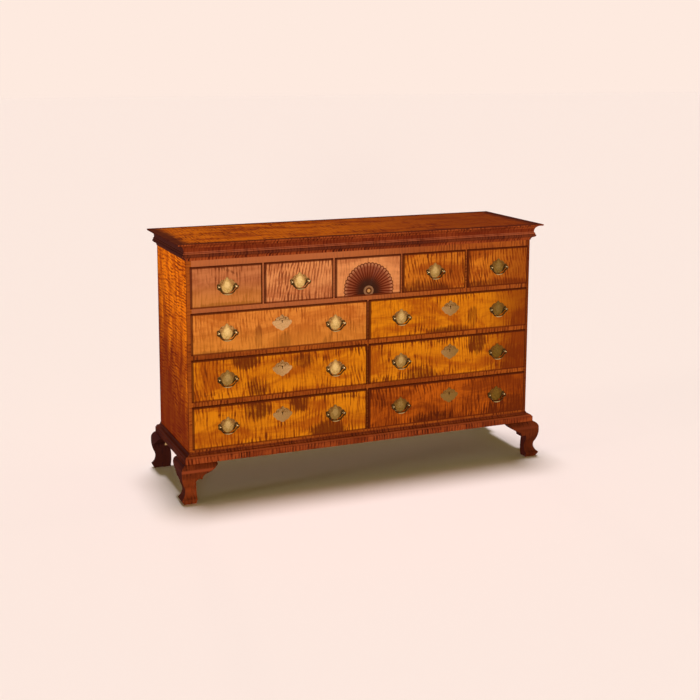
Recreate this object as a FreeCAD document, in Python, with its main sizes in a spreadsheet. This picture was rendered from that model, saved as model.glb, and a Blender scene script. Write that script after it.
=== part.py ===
import FreeCAD, Part
import math
import os

import Sketcher
from FreeCAD import Placement, Rotation, Vector

# Eleven-drawer long chest: five small drawers over three rows of two wide ones, lipped drawer
# fronts, a fan-carved centre drawer, a cove cornice, a moulded base and four ogee bracket feet.
# Part frame: X to the right, Y to the back, Z up, the floor at Z = 0.

doc = FreeCAD.newDocument("long_chest")

# ---------------------------------------------------------------- driving dimensions (mm)

SIZES = {
    # case
    "case_width": 1650.0,
    "case_depth": 490.0,
    "side_thick": 20.0,
    "foot_height": 169.0,
    "plinth_rise": 53.0,
    "opening_low": 182.5,
    "opening_middle": 178.5,
    "opening_upper": 175.5,
    "opening_top": 172.5,
    "rail_thick": 25.0,
    "rail_depth": 70.0,
    "facing_thick": 20.0,
    "frieze_height": 89.0,
    "divider_thick": 22.0,
    "bottom_thick": 20.0,
    "runner_width": 60.0,
    "kicker_thick": 20.0,
    "back_thick": 12.0,
    # top board and cornice: reach is measured out from the case, drop down from the top surface
    "top_thick": 20.0,
    "top_reach": 45.0,
    "top_edge": 6.5,
    "top_fillet": 3.5,
    "cove_radius": 28.0,
    "cove_wall": 5.0,
    "ovolo_out": 5.0,
    "ovolo_rise": 6.5,
    "quirk": 1.5,
    "quirk_rise": 2.0,
    "bead_rise": 12.0,
    "bead_radius": 6.3,
    "bead_shelf": 1.5,
    "neck_reach": 3.0,
    "neck_radius": 13.0,
    # base moulding
    "base_reach": 26.0,
    "base_face": 24.0,
    "base_step": 3.0,
    "cyma_rise": 16.0,
    "cyma_radius": 9.0,
    "base_lip": 3.0,
    # ogee bracket feet: reach is measured out from the case, height up from the floor
    "foot_inset": 6.0,
    "foot_top_reach": 29.0,
    "foot_bulge": 48.0,
    "bulge_height": 141.0,
    "bulge_radius": 27.0,
    "belly_radius": 127.0,
    "waist_reach": 33.0,
    "waist_height": 72.0,
    "ankle_radius": 40.0,
    "toe_reach": 48.0,
    "toe_height": 22.0,
    "toe_edge": 3.0,
    "pad_reach": 38.0,
    # outline of a bracket along its run from the corner of the case
    "bracket_run": 114.0,
    "bracket_tip": 5.0,
    "heel_run": 16.0,
    "heel_radius": 230.0,
    "arch_run": 15.0,
    "arch_height": 95.0,
    "arch_radius": 15.8,
    "spur_run": 42.0,
    "spur_height": 104.0,
    "spur_radius": 26.0,
    "notch_run": 56.0,
    "notch_height": 128.0,
    "scroll_radius": 120.0,
    "brace_thick": 18.0,
    "brace_extra": 22.0,
    "foot_block": 30.0,
    "foot_block_tall": 57.0,
    # drawers
    "lip_over": 6.5,
    "lip_gap": 0.3,
    "lip_edge": 2.5,
    "thumb_radius": 6.5,
    "field_step": 1.2,
    "field_ledge": 1.0,
    "drawer_lift": 1.0,
    "drawer_rub": 0.3,
    "drawer_play": 1.5,
    "drawer_headroom": 2.0,
    "front_lap": 8.0,
    "front_block": 20.0,
    "drawer_rear_gap": 26.0,
    "board_thick": 12.0,
    "side_drop": 4.0,
    "panel_thick": 8.0,
    "panel_rise": 10.0,
    "groove_deep": 6.0,
    "groove_play": 0.2,
    # fan carving on the centre drawer, heights measured up from the field's lower edge
    "fan_hub_height": 16.0,
    "fan_arc_height": 23.0,
    "fan_radius": 119.0,
    "fan_pitch": 8.2,
    "fan_dish": 7.8,
    "dish_radius": 100.0,
    "fan_margin": 2.0,
    "ray_root": 18.0,
    "ray_land": 0.03,
    "ray_depth": 3.0,
    "boss_radius": 23.0,
    "button_radius": 9.0,
    "boss_groove": 2.5,
    # brasses
    "post_spacing": 76.2,
    "pull_offset": 248.0,
    "plate_thick": 2.0,
    "plate_crest": 40.0,
    "crest_half": 10.0,
    "crest_shoulder": 29.0,
    "plate_waist": 33.0,
    "waist_top": 13.0,
    "plate_wing": 45.0,
    "wing_rise": 6.0,
    "waist_low": 10.0,
    "foot_half": 14.0,
    "foot_shoulder": 23.0,
    "plate_foot": 32.0,
    "scallop_radius": 20.0,
    "wing_radius": 10.0,
    "escutcheon_rise": 20.0,
    "keyhole_rise": 12.0,
    "keyhole_radius": 3.2,
    "keyhole_slot": 3.0,
    "keyhole_drop": 11.0,
    "keyhole_deep": 8.0,
    "pin_reach": 39.0,
    "pin_radius": 0.9,
    "pin_length": 9.0,
    "pin_head": 1.7,
    "pin_cap": 0.8,
    "post_reach": 10.0,
    "ball_radius": 4.2,
    "collar_radius": 5.0,
    "collar_thick": 1.5,
    "neck_thick": 2.6,
    "shank_radius": 2.0,
    "shank_play": 0.2,
    "shank_tail": 2.0,
    "nut_radius": 4.5,
    "nut_thick": 3.0,
    "nib_radius": 1.6,
    "nib_tail": 2.0,
    "nib_play": 0.08,
    "bail_radius": 2.5,
    "bail_clear": 0.6,
    "bail_corner": 2.8,
    "bail_curl": 8.0,
    "bail_turn": 75.0,
    "bail_neck": 14.0,
    "bail_drop": 34.0,
}
BACK_BOARDS = 5
PARTITIONS = 4
RAYS_EACH_SIDE = 12

sheet = doc.addObject("Spreadsheet::Sheet", "Sizes")
for line, (alias, value) in enumerate(SIZES.items(), start=1):
    sheet.set(f"A{line}", alias)
    sheet.set(f"B{line}", str(value))
    sheet.setAlias(f"B{line}", alias)
doc.recompute()


def number(expression):
    """The value of an expression on the sheet, as a plain float."""
    return float(sheet.evalExpression(str(expression)))


# ---------------------------------------------------------------- places worked out from them

HALF = "(Sizes.case_width / 2)"
INSIDE = "(Sizes.case_width - 2 * Sizes.side_thick)"
FRONT = "((Sizes.foot_bulge - Sizes.case_depth) / 2)"
ROOM = "(Sizes.case_depth - Sizes.back_thick)"
DRAWER_END = f"({ROOM} - Sizes.drawer_rear_gap)"
FLOOR_LOW = "(Sizes.foot_height + Sizes.plinth_rise)"
FLOOR_MIDDLE = f"({FLOOR_LOW} + Sizes.opening_low + Sizes.rail_thick)"
FLOOR_UPPER = f"({FLOOR_MIDDLE} + Sizes.opening_middle + Sizes.rail_thick)"
FLOOR_TOP = f"({FLOOR_UPPER} + Sizes.opening_upper + Sizes.rail_thick)"
HEAD = f"({FLOOR_TOP} + Sizes.opening_top)"
TOP_UNDER = f"({HEAD} + Sizes.frieze_height)"
TOP = f"({TOP_UNDER} + Sizes.top_thick)"
CASE_RISE = f"({TOP_UNDER} - Sizes.foot_height)"
SMALL = f"(({INSIDE} - {PARTITIONS} * Sizes.divider_thick) / {PARTITIONS + 1})"
WIDE = f"(({INSIDE} - Sizes.divider_thick) / 2)"
SMALL_STEP = f"({SMALL} + Sizes.divider_thick)"
WIDE_CENTRE = f"(({WIDE} + Sizes.divider_thick) / 2)"
PROUD = "(Sizes.lip_gap + Sizes.lip_edge + Sizes.thumb_radius + Sizes.field_step)"
PLATE_FACE = f"({PROUD} + Sizes.plate_thick)"


# ---------------------------------------------------------------- helpers

def bind(obj, **sizes):
    """Bind properties of an object to expressions; x, y and z bind its place."""
    for name, expression in sizes.items():
        path = f".Placement.Base.{name}" if name in ("x", "y", "z") else name
        obj.setExpression(path, str(expression))
    return obj


def box(name, span_x, span_y, span_z, **place):
    """A board with its low corner at the given place."""
    board = doc.addObject("Part::Box", name)
    return bind(board, Length=span_x, Width=span_y, Height=span_z, **place)


def rod(name, radius, length, axis, **place):
    """A cylinder that runs along an axis from the given place."""
    cylinder = doc.addObject("Part::Cylinder", name)
    cylinder.Placement = Placement(Vector(0, 0, 0), Rotation(Vector(0, 0, 1), axis))
    return bind(cylinder, Radius=radius, Height=length, **place)


def group(name, members, turn=0, **place):
    """Several solids that make one sub-part, turned about Z and put in their place."""
    compound = doc.addObject("Part::Compound", name)
    compound.Links = members
    compound.Placement = Placement(Vector(0, 0, 0), Rotation(Vector(0, 0, 1), turn))
    return bind(compound, **place)


def fuse(name, members, **place):
    """One solid joined from several."""
    joined = doc.addObject("Part::MultiFuse", name)
    joined.Shapes = members
    return bind(joined, **place)


def cut(name, base, tool, **place):
    """A solid less a tool."""
    rest = doc.addObject("Part::Cut", name)
    rest.Base = base
    rest.Tool = tool
    return bind(rest, **place)


def mirrored(name, source, normal, **place):
    """A mirror copy, the mirror plane passing through the origin."""
    copy = doc.addObject("Part::Mirroring", name)
    copy.Source = source
    copy.Normal = normal
    return bind(copy, **place)


def new_body(name, **place):
    return bind(doc.addObject("PartDesign::Body", name), **place)


def new_sketch(body, name, role):
    """A sketch on one of the body's own origin planes."""
    sketch = body.newObject("Sketcher::SketchObject", f"{body.Name}_{name}")
    plane = next(f for f in body.Origin.OriginFeatures if f.Role == role)
    sketch.AttachmentSupport = (plane, [""])
    sketch.MapMode = "FlatFace"
    return sketch


def arc_between(start, end, turn, radius):
    """The short arc from start to end that turns left (+1) or right (-1) on the way."""
    chord = end - start
    left = Vector(-chord.y, chord.x, 0).normalize()
    sagitta = radius - math.sqrt(radius ** 2 - (chord.Length / 2) ** 2)
    return Part.Arc(start, (start + end) * 0.5 - left * (turn * sagitta), end)


def pin_point(sketch, geometry, end, x, y):
    """Bind a point of the sketch to a pair of expressions."""
    for kind, expression in (("DistanceX", x), ("DistanceY", y)):
        mark = Sketcher.Constraint(kind, -1, 1, geometry, end, number(expression))
        sketch.setExpression(f"Constraints[{sketch.addConstraint(mark)}]", str(expression))


def outline(sketch, points, closed=True):
    """Draw a chain of lines and arcs, with every corner and radius bound.

    A point is (x, y), or (x, y, turn, radius) where the run that leaves it is an arc.
    """
    corners = [Vector(number(point[0]), number(point[1]), 0) for point in points]
    runs = []
    for i in range(len(points) if closed else len(points) - 1):
        start = corners[i]
        end = corners[(i + 1) % len(points)]
        if len(points[i]) == 2:
            geometry = sketch.addGeometry(Part.LineSegment(start, end), False)
            runs.append((geometry, 1, 2))
            continue
        turn, radius = points[i][2:]
        arc = arc_between(start, end, turn, number(radius))
        geometry = sketch.addGeometry(arc, False)
        runs.append((geometry, 1, 2) if turn > 0 else (geometry, 2, 1))
        mark = Sketcher.Constraint("Radius", geometry, number(radius))
        sketch.setExpression(f"Constraints[{sketch.addConstraint(mark)}]", str(radius))
    for run, following in zip(runs, runs[1:] + (runs[:1] if closed else [])):
        sketch.addConstraint(Sketcher.Constraint("Coincident", run[0], run[2], following[0], following[1]))
    for run, point in zip(runs, points):
        pin_point(sketch, run[0], run[1], point[0], point[1])
    if not closed:
        pin_point(sketch, runs[-1][0], runs[-1][2], points[-1][0], points[-1][1])


def circle(sketch, x, y, radius):
    """A bound circle."""
    shape = Part.Circle(Vector(number(x), number(y), 0), Vector(0, 0, 1), number(radius))
    geometry = sketch.addGeometry(shape, False)
    mark = Sketcher.Constraint("Radius", geometry, number(radius))
    sketch.setExpression(f"Constraints[{sketch.addConstraint(mark)}]", str(radius))
    pin_point(sketch, geometry, 3, x, y)


def pad(body, sketch, length):
    """A pad of the sketch along its normal."""
    feature = body.newObject("PartDesign::Pad", f"{sketch.Name}_pad")
    feature.Profile = sketch
    bind(feature, Length=length)
    body.Tip = feature
    return feature


def pocket(body, sketch, length):
    """A cut that reaches half its length to each side of the sketch."""
    feature = body.newObject("PartDesign::Pocket", f"{sketch.Name}_pocket")
    feature.Profile = sketch
    feature.SideType = "Symmetric"
    bind(feature, Length=length)
    body.Tip = feature
    return feature


def block(body, name, span_x, span_y, span_z, x, y, z):
    """A box feature of a body."""
    feature = body.newObject("PartDesign::AdditiveBox", f"{body.Name}_{name}")
    bind(feature, Length=span_x, Width=span_y, Height=span_z, x=x, y=y, z=z)
    body.Tip = feature
    return feature


# ---------------------------------------------------------------- case

def case_sides():
    left = box("side_left", "Sizes.side_thick", "Sizes.case_depth", CASE_RISE, x=f"-{HALF}",
               y=FRONT, z="Sizes.foot_height")
    right = box("side_right", "Sizes.side_thick", "Sizes.case_depth", CASE_RISE,
                x=f"{HALF} - Sizes.side_thick", y=FRONT, z="Sizes.foot_height")
    return group("case_sides", [left, right])


def drawer_rails():
    """The plinth rail, three rails between the rows and the frieze above the top row."""
    start = f"-{INSIDE} / 2"
    rails = [box("plinth_rail", INSIDE, "Sizes.facing_thick", "Sizes.plinth_rise", x=start,
                 y=FRONT, z="Sizes.foot_height")]
    for name, floor in (("low", FLOOR_MIDDLE), ("middle", FLOOR_UPPER), ("upper", FLOOR_TOP)):
        rails.append(box(f"rail_{name}", INSIDE, "Sizes.rail_depth", "Sizes.rail_thick", x=start,
                         y=FRONT, z=f"{floor} - Sizes.rail_thick"))
    rails.append(box("frieze", INSIDE, "Sizes.facing_thick", "Sizes.frieze_height", x=start,
                     y=FRONT, z=HEAD))
    return group("drawer_rails", rails)


def divider_places():
    """The X centre of each divider of the top row."""
    return [f"({i - (PARTITIONS - 1) / 2} * {SMALL_STEP})" for i in range(PARTITIONS)]


def drawer_dividers():
    """Four dividers in the top row and a centre divider in each row below."""
    boards = []
    for i, centre in enumerate(divider_places()):
        boards.append(box(f"divider_top_{i + 1}", "Sizes.divider_thick", ROOM, "Sizes.opening_top",
                          x=f"{centre} - Sizes.divider_thick / 2", y=FRONT, z=FLOOR_TOP))
    for name, floor in (("low", FLOOR_LOW), ("middle", FLOOR_MIDDLE), ("upper", FLOOR_UPPER)):
        boards.append(box(f"divider_{name}", "Sizes.divider_thick", ROOM, f"Sizes.opening_{name}",
                          x="-Sizes.divider_thick / 2", y=FRONT, z=floor))
    return group("drawer_dividers", boards)


def strips(name, thick, level, start, length, centres):
    """Runners or kickers front to back: one along each side, one astride each divider."""
    astride = "(Sizes.divider_thick + 2 * Sizes.runner_width)"
    edge = f"{INSIDE} / 2"
    boards = [box(f"{name}_left", "Sizes.runner_width", length, thick, x=f"-{edge}", y=start, z=level),
              box(f"{name}_right", "Sizes.runner_width", length, thick,
                  x=f"{edge} - Sizes.runner_width", y=start, z=level)]
    for i, centre in enumerate(centres):
        boards.append(box(f"{name}_{i + 1}", astride, length, thick, x=f"{centre} - {astride} / 2",
                          y=start, z=level))
    return boards


def drawer_runners():
    """Runners and back rails behind the three rails, and kickers above the top row."""
    start = f"{FRONT} + Sizes.rail_depth"
    length = f"{ROOM} - 2 * Sizes.rail_depth"
    boards = []
    levels = (("low", FLOOR_MIDDLE, ["0"]), ("middle", FLOOR_UPPER, ["0"]),
              ("upper", FLOOR_TOP, divider_places()))
    for name, floor, centres in levels:
        level = f"{floor} - Sizes.rail_thick"
        boards += strips(f"runner_{name}", "Sizes.rail_thick", level, start, length, centres)
        boards.append(box(f"back_rail_{name}", INSIDE, "Sizes.rail_depth", "Sizes.rail_thick",
                          x=f"-{INSIDE} / 2", y=f"{FRONT} + {ROOM} - Sizes.rail_depth", z=level))
    boards += strips("kicker", "Sizes.kicker_thick", HEAD, f"{FRONT} + Sizes.facing_thick",
                     f"{ROOM} - Sizes.facing_thick", divider_places())
    return group("drawer_runners", boards)


def case_bottom():
    return box("case_bottom", INSIDE, f"{ROOM} - Sizes.facing_thick", "Sizes.bottom_thick",
               x=f"-{INSIDE} / 2", y=f"{FRONT} + Sizes.facing_thick",
               z=f"{FLOOR_LOW} - Sizes.bottom_thick")


def back_boards():
    """Level boards that close the back between the sides."""
    rise = f"({CASE_RISE} / {BACK_BOARDS})"
    return group("back_boards", [
        box(f"back_board_{i + 1}", INSIDE, "Sizes.back_thick", rise, x=f"-{INSIDE} / 2",
            y=f"{FRONT} + {ROOM}", z=f"Sizes.foot_height + {i} * {rise}")
        for i in range(BACK_BOARDS)])


# ---------------------------------------------------------------- top, cornice and base moulding

COVE_REACH = "(Sizes.top_reach - Sizes.top_fillet)"
COVE_FOOT = "(Sizes.top_edge + Sizes.cove_radius)"
COVE_AT_TOP = (f"({COVE_REACH} - sqrt(Sizes.cove_radius ^ 2"
               f" - ({COVE_FOOT} - Sizes.top_thick) ^ 2))")


def cove_waste(flip):
    """What is cut from under the top board's edge, as (reach, rise) points seen end on."""
    far = "(Sizes.top_reach + 1)"
    low = "(Sizes.top_thick + 1)"
    turn = -1 if flip > 0 else 1
    return [(f"{flip} * {far}", "-Sizes.top_edge"),
            (f"{flip} * {far}", f"-{low}"),
            (f"{flip} * {COVE_AT_TOP}", f"-{low}"),
            (f"{flip} * {COVE_AT_TOP}", "-Sizes.top_thick", turn, "Sizes.cove_radius"),
            (f"{flip} * {COVE_REACH}", "-Sizes.top_edge")]


def top_board():
    """One wide board, its front and ends hollowed underneath to start the cove."""
    board = new_body("top_board", y=FRONT, z=TOP)
    block(board, "blank", "Sizes.case_width + 2 * Sizes.top_reach", "Sizes.case_depth + Sizes.top_reach",
          "Sizes.top_thick", f"-{HALF} - Sizes.top_reach", "-Sizes.top_reach", "-Sizes.top_thick")
    front = new_sketch(board, "front", "YZ_Plane")
    outline(front, cove_waste(-1))
    pocket(board, front, "2 * Sizes.case_width")
    for name, flip in (("left", -1), ("right", 1)):
        end = new_sketch(board, name, "XZ_Plane")
        outline(end, [(f"{flip} * {HALF} + {point[0]}",) + point[1:] for point in cove_waste(flip)])
        pocket(board, end, "4 * Sizes.case_depth")
    return board


def cornice_profile():
    """Section of the cornice as (reach, rise) points, rise measured from the top surface."""
    wall = f"({COVE_REACH} - Sizes.cove_radius)"
    ovolo = f"({wall} + Sizes.ovolo_out)"
    bead = f"({ovolo} - Sizes.quirk)"
    shelf = f"({bead} - Sizes.bead_shelf)"
    ledge = f"({COVE_FOOT} + Sizes.cove_wall)"
    ovolo_foot = f"({ledge} + Sizes.ovolo_rise)"
    bead_top = f"({ovolo_foot} + Sizes.quirk_rise)"
    bead_foot = f"({bead_top} + Sizes.bead_rise)"
    shelf_foot = f"({bead_foot} + Sizes.bead_shelf)"
    neck_foot = f"({shelf_foot} + {shelf} - Sizes.neck_reach)"
    end = f"({neck_foot} + Sizes.bead_shelf)"
    return [("0", "-Sizes.top_thick"),
            (f"-{COVE_AT_TOP}", "-Sizes.top_thick", -1, "Sizes.cove_radius"),
            (f"-{wall}", f"-{COVE_FOOT}"),
            (f"-{wall}", f"-{ledge}", 1, "Sizes.ovolo_rise"),
            (f"-{ovolo}", f"-{ovolo_foot}"),
            (f"-{bead}", f"-{ovolo_foot}"),
            (f"-{bead}", f"-{bead_top}", 1, "Sizes.bead_radius"),
            (f"-{bead}", f"-{bead_foot}"),
            (f"-{shelf}", f"-{bead_foot}"),
            (f"-{shelf}", f"-{shelf_foot}", -1, "Sizes.neck_radius"),
            ("-Sizes.neck_reach", f"-{neck_foot}"),
            ("-Sizes.neck_reach", f"-{end}"),
            ("0", f"-{end}")]


def base_profile():
    """Section of the base moulding as (reach, rise) points, rise measured from the feet."""
    step = "(Sizes.base_reach - Sizes.base_step)"
    middle = f"(({step} + Sizes.base_lip) / 2)"
    cyma_top = "(Sizes.base_face + Sizes.cyma_rise)"
    return [("0", "0"),
            ("0", f"{cyma_top} + Sizes.base_lip"),
            ("-Sizes.base_lip", f"{cyma_top} + Sizes.base_lip"),
            ("-Sizes.base_lip", cyma_top, -1, "Sizes.cyma_radius"),
            (f"-{middle}", "Sizes.base_face + Sizes.cyma_rise / 2", 1, "Sizes.cyma_radius"),
            (f"-{step}", "Sizes.base_face"),
            ("-Sizes.base_reach", "Sizes.base_face"),
            ("-Sizes.base_reach", "0")]


def strip(name, profile, reach, length, ends):
    """A length of one section along X from its corner at the origin, with mitred ends.

    The ends are -1 for the mitre at the origin and +1 for the one at the far corner.
    """
    far = f"({reach} + 1)"
    body = new_body(name)
    section = new_sketch(body, "section", "YZ_Plane")
    section.setExpression("AttachmentOffset.Base.z", f"-{far}" if -1 in ends else "0")
    outline(section, profile)
    pad(body, section, f"{length} + {len(ends)} * {far}")
    mitres = new_sketch(body, "mitres", "XY_Plane")
    for flip in ends:
        corner = "0" if flip < 0 else length
        inner = f"{corner} - {flip} * 2 * Sizes.foot_inset"
        outer = f"{corner} + {flip} * 2 * {far}"
        outline(mitres, [(inner, "2 * Sizes.foot_inset"), (outer, f"-2 * {far}"),
                         (outer, "2 * Sizes.foot_inset")])
    pocket(body, mitres, "4 * Sizes.foot_height")
    return body


def moulding(name, profile, reach, level):
    """A front length and two returns, mitred at the corners."""
    front = strip(f"{name}_front", profile, reach, "Sizes.case_width", (-1, 1))
    side = strip(f"{name}_side", profile, reach, "Sizes.case_depth", (-1,))
    length = group(f"{name}_length", [front], x=f"-{HALF}", y=FRONT, z=level)
    right = group(f"{name}_right", [side], turn=90, x=HALF, y=FRONT, z=level)
    left = mirrored(f"{name}_left", right, Vector(1, 0, 0))
    return group(name, [length, right, left])


def cornice_moulding():
    return moulding("cornice_moulding", cornice_profile(), "Sizes.top_reach", TOP)


def base_moulding():
    return moulding("base_moulding", base_profile(), "Sizes.base_reach", "Sizes.foot_height")


# ---------------------------------------------------------------- feet

def ogee_profile():
    """Section of an ogee bracket as (reach, height) points."""
    return [("Sizes.foot_inset", "0"),
            ("Sizes.foot_inset", "Sizes.foot_height"),
            ("-Sizes.foot_top_reach", "Sizes.foot_height", 1, "Sizes.bulge_radius"),
            ("-Sizes.foot_bulge", "Sizes.bulge_height", 1, "Sizes.belly_radius"),
            ("-Sizes.waist_reach", "Sizes.waist_height", -1, "Sizes.ankle_radius"),
            ("-Sizes.toe_reach", "Sizes.toe_height"),
            ("-Sizes.toe_reach", "Sizes.toe_height - Sizes.toe_edge"),
            ("-Sizes.pad_reach", "0")]


def brace_profile():
    """Section of the plain brace behind a rear foot."""
    return [("0", "0"), ("Sizes.brace_thick", "0"), ("Sizes.brace_thick", "Sizes.foot_height"),
            ("0", "Sizes.foot_height")]


def scroll_cut(body, shift):
    """Cut the lower edge of a bracket to its scrolled outline, and its heel."""
    tip = "Sizes.foot_height - Sizes.bracket_tip"
    end = f"{shift} + Sizes.bracket_run"
    sketch = new_sketch(body, "scroll", "XZ_Plane")
    outline(sketch, [(f"{shift} + Sizes.heel_run", "0", 1, "Sizes.heel_radius"),
                     (f"{shift} + Sizes.arch_run", "Sizes.arch_height", -1, "Sizes.arch_radius"),
                     (f"{shift} + Sizes.spur_run", "Sizes.spur_height", -1, "Sizes.spur_radius"),
                     (f"{shift} + Sizes.notch_run", "Sizes.notch_height", 1, "Sizes.scroll_radius"),
                     (end, tip), (f"{end} + 1", tip), (f"{end} + 1", "-1"),
                     (f"{shift} + Sizes.heel_run", "-1")])
    pocket(body, sketch, "4 * Sizes.foot_bulge")


def front_feet():
    """Two brackets to each foot, mitred at the corner."""
    bracket = strip("front_bracket", ogee_profile(), "Sizes.foot_bulge", "Sizes.bracket_run", (-1,))
    scroll_cut(bracket, "0")
    facing_front = group("foot_facing_front", [bracket], x=f"-{HALF}", y=FRONT)
    turned = mirrored("bracket_turned", bracket, Vector(1, -1, 0))
    facing_side = group("foot_facing_side", [turned], x=f"-{HALF}", y=FRONT)
    left = group("front_foot_left", [facing_front, facing_side])
    return group("front_feet", [left, mirrored("front_foot_right", left, Vector(1, 0, 0))])


def plain_strip(name, profile, start, length):
    """A length of one section along X with square ends."""
    body = new_body(name)
    section = new_sketch(body, "section", "YZ_Plane")
    section.setExpression("AttachmentOffset.Base.z", start)
    outline(section, profile)
    pad(body, section, length)
    return body


def rear_feet():
    """An ogee bracket at each side, square at the back, and a plain brace across behind it."""
    back = f"({FRONT} + Sizes.case_depth)"
    bracket = plain_strip("rear_bracket", ogee_profile(), "0", "Sizes.bracket_run")
    scroll_cut(bracket, "0")
    brace = plain_strip("rear_brace_board", brace_profile(), "Sizes.foot_inset",
                        "Sizes.bracket_run + Sizes.brace_extra - Sizes.foot_inset")
    scroll_cut(brace, "Sizes.brace_extra")
    side = group("rear_foot_side", [bracket], turn=-90, x=f"-{HALF}", y=back)
    behind = group("rear_foot_brace", [brace], x=f"-{HALF}", y=f"{back} - Sizes.brace_thick")
    left = group("rear_foot_left", [side, behind])
    return group("rear_feet", [left, mirrored("rear_foot_right", left, Vector(1, 0, 0))])


def foot_blocks():
    """A glue block in the corner of each foot, above the scrolls."""
    edge = f"(-{HALF} + Sizes.foot_inset)"
    back = f"({FRONT} + Sizes.case_depth - Sizes.brace_thick)"
    blocks = [box(f"foot_block_{name}", "Sizes.foot_block", "Sizes.foot_block",
                  "Sizes.foot_block_tall", x=edge, y=start,
                  z="Sizes.foot_height - Sizes.foot_block_tall")
              for name, start in (("front", f"{FRONT} + Sizes.foot_inset"),
                                  ("rear", f"{back} - Sizes.foot_block"))]
    left = group("foot_blocks_left", blocks)
    return group("foot_blocks", [left, mirrored("foot_blocks_right", left, Vector(1, 0, 0))])


# ---------------------------------------------------------------- drawers
# A drawer is built with the middle of its opening's floor at the origin and the case's front at Y = 0.

LIP_FACE = "(Sizes.lip_gap + Sizes.lip_edge + Sizes.thumb_radius)"
FIELD_INSET = "(Sizes.thumb_radius + Sizes.field_ledge)"
PANEL_TOP = "(Sizes.panel_rise + Sizes.panel_thick)"


def pull_height(opening):
    """Height of the pulls: half way up the face of the drawer."""
    return f"((Sizes.drawer_lift + {opening} + Sizes.lip_over) / 2)"


def keyhole(sketch, height):
    """A round hole with a slot below it."""
    half = "Sizes.keyhole_slot / 2"
    join = f"{height} - sqrt(Sizes.keyhole_radius ^ 2 - ({half}) ^ 2)"
    foot = f"{height} - Sizes.keyhole_drop"
    outline(sketch, [(half, join, 1, "Sizes.keyhole_radius"),
                     ("0", f"{height} + Sizes.keyhole_radius", 1, "Sizes.keyhole_radius"),
                     (f"-{half}", join), (f"-{half}", foot), (half, foot)])


def drawer_front(name, width, opening, pulls, escutcheon):
    """A lipped front with a thumbnail edge, bored for its brasses and grooved for the panel."""
    body = new_body(name)
    lip_low = "Sizes.drawer_lift"
    lip_height = f"({opening} + Sizes.lip_over - {lip_low})"
    half_lip = f"({width} / 2 + Sizes.lip_over)"
    lip = block(body, "lip", f"2 * {half_lip}", "Sizes.lip_edge + Sizes.thumb_radius", lip_height,
                f"-{half_lip}", f"-{LIP_FACE}", lip_low)
    doc.recompute()
    face = -number(LIP_FACE)
    edges = [f"Edge{i}" for i, edge in enumerate(lip.Shape.Edges, start=1)
             if all(abs(vertex.Y - face) < 1e-6 for vertex in edge.Vertexes)]
    thumb = body.newObject("PartDesign::Fillet", f"{name}_thumbnail")
    thumb.Base = (lip, edges)
    bind(thumb, Radius="Sizes.thumb_radius")
    body.Tip = thumb
    half_field = f"({half_lip} - {FIELD_INSET})"
    block(body, "field", f"2 * {half_field}", "Sizes.field_step", f"{lip_height} - 2 * {FIELD_INSET}",
          f"-{half_field}", f"-{PROUD}", f"{lip_low} + {FIELD_INSET}")
    half_lap = f"({width} / 2 - Sizes.drawer_play)"
    rise = f"{opening} - Sizes.drawer_headroom - {lip_low}"
    block(body, "lap", f"2 * {half_lap}", "Sizes.lip_gap + Sizes.front_lap", rise,
          f"-{half_lap}", "-Sizes.lip_gap", lip_low)
    half_tongue = f"({half_lap} - Sizes.board_thick)"
    block(body, "tongue", f"2 * {half_tongue}", "Sizes.front_block - Sizes.front_lap", rise,
          f"-{half_tongue}", "Sizes.front_lap", lip_low)
    groove = body.newObject("PartDesign::SubtractiveBox", f"{name}_groove")
    bind(groove, Length=f"2 * {half_tongue}", Width="Sizes.groove_deep",
         Height="Sizes.panel_thick + Sizes.groove_play", x=f"-{half_tongue}",
         y="Sizes.front_block - Sizes.groove_deep", z="Sizes.panel_rise")
    body.Tip = groove
    height = pull_height(opening)
    if pulls:
        bores = new_sketch(body, "bores", "XZ_Plane")
        for place in pulls:
            for side in (-1, 1):
                circle(bores, f"{place} + {side} * Sizes.post_spacing / 2", height,
                       "Sizes.shank_radius + Sizes.shank_play")
        pocket(body, bores, "4 * Sizes.front_block")
    if escutcheon:
        lock = new_sketch(body, "lock", "XZ_Plane")
        lock.setExpression("AttachmentOffset.Base.z", PROUD)
        keyhole(lock, f"({height} + Sizes.escutcheon_rise + Sizes.keyhole_rise)")
        for side in (-1, 1):
            circle(lock, f"{side} * Sizes.pin_reach", f"{height} + Sizes.escutcheon_rise",
                   "Sizes.pin_radius")
        pocket(body, lock, "2 * Sizes.keyhole_deep")
    return body


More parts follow.
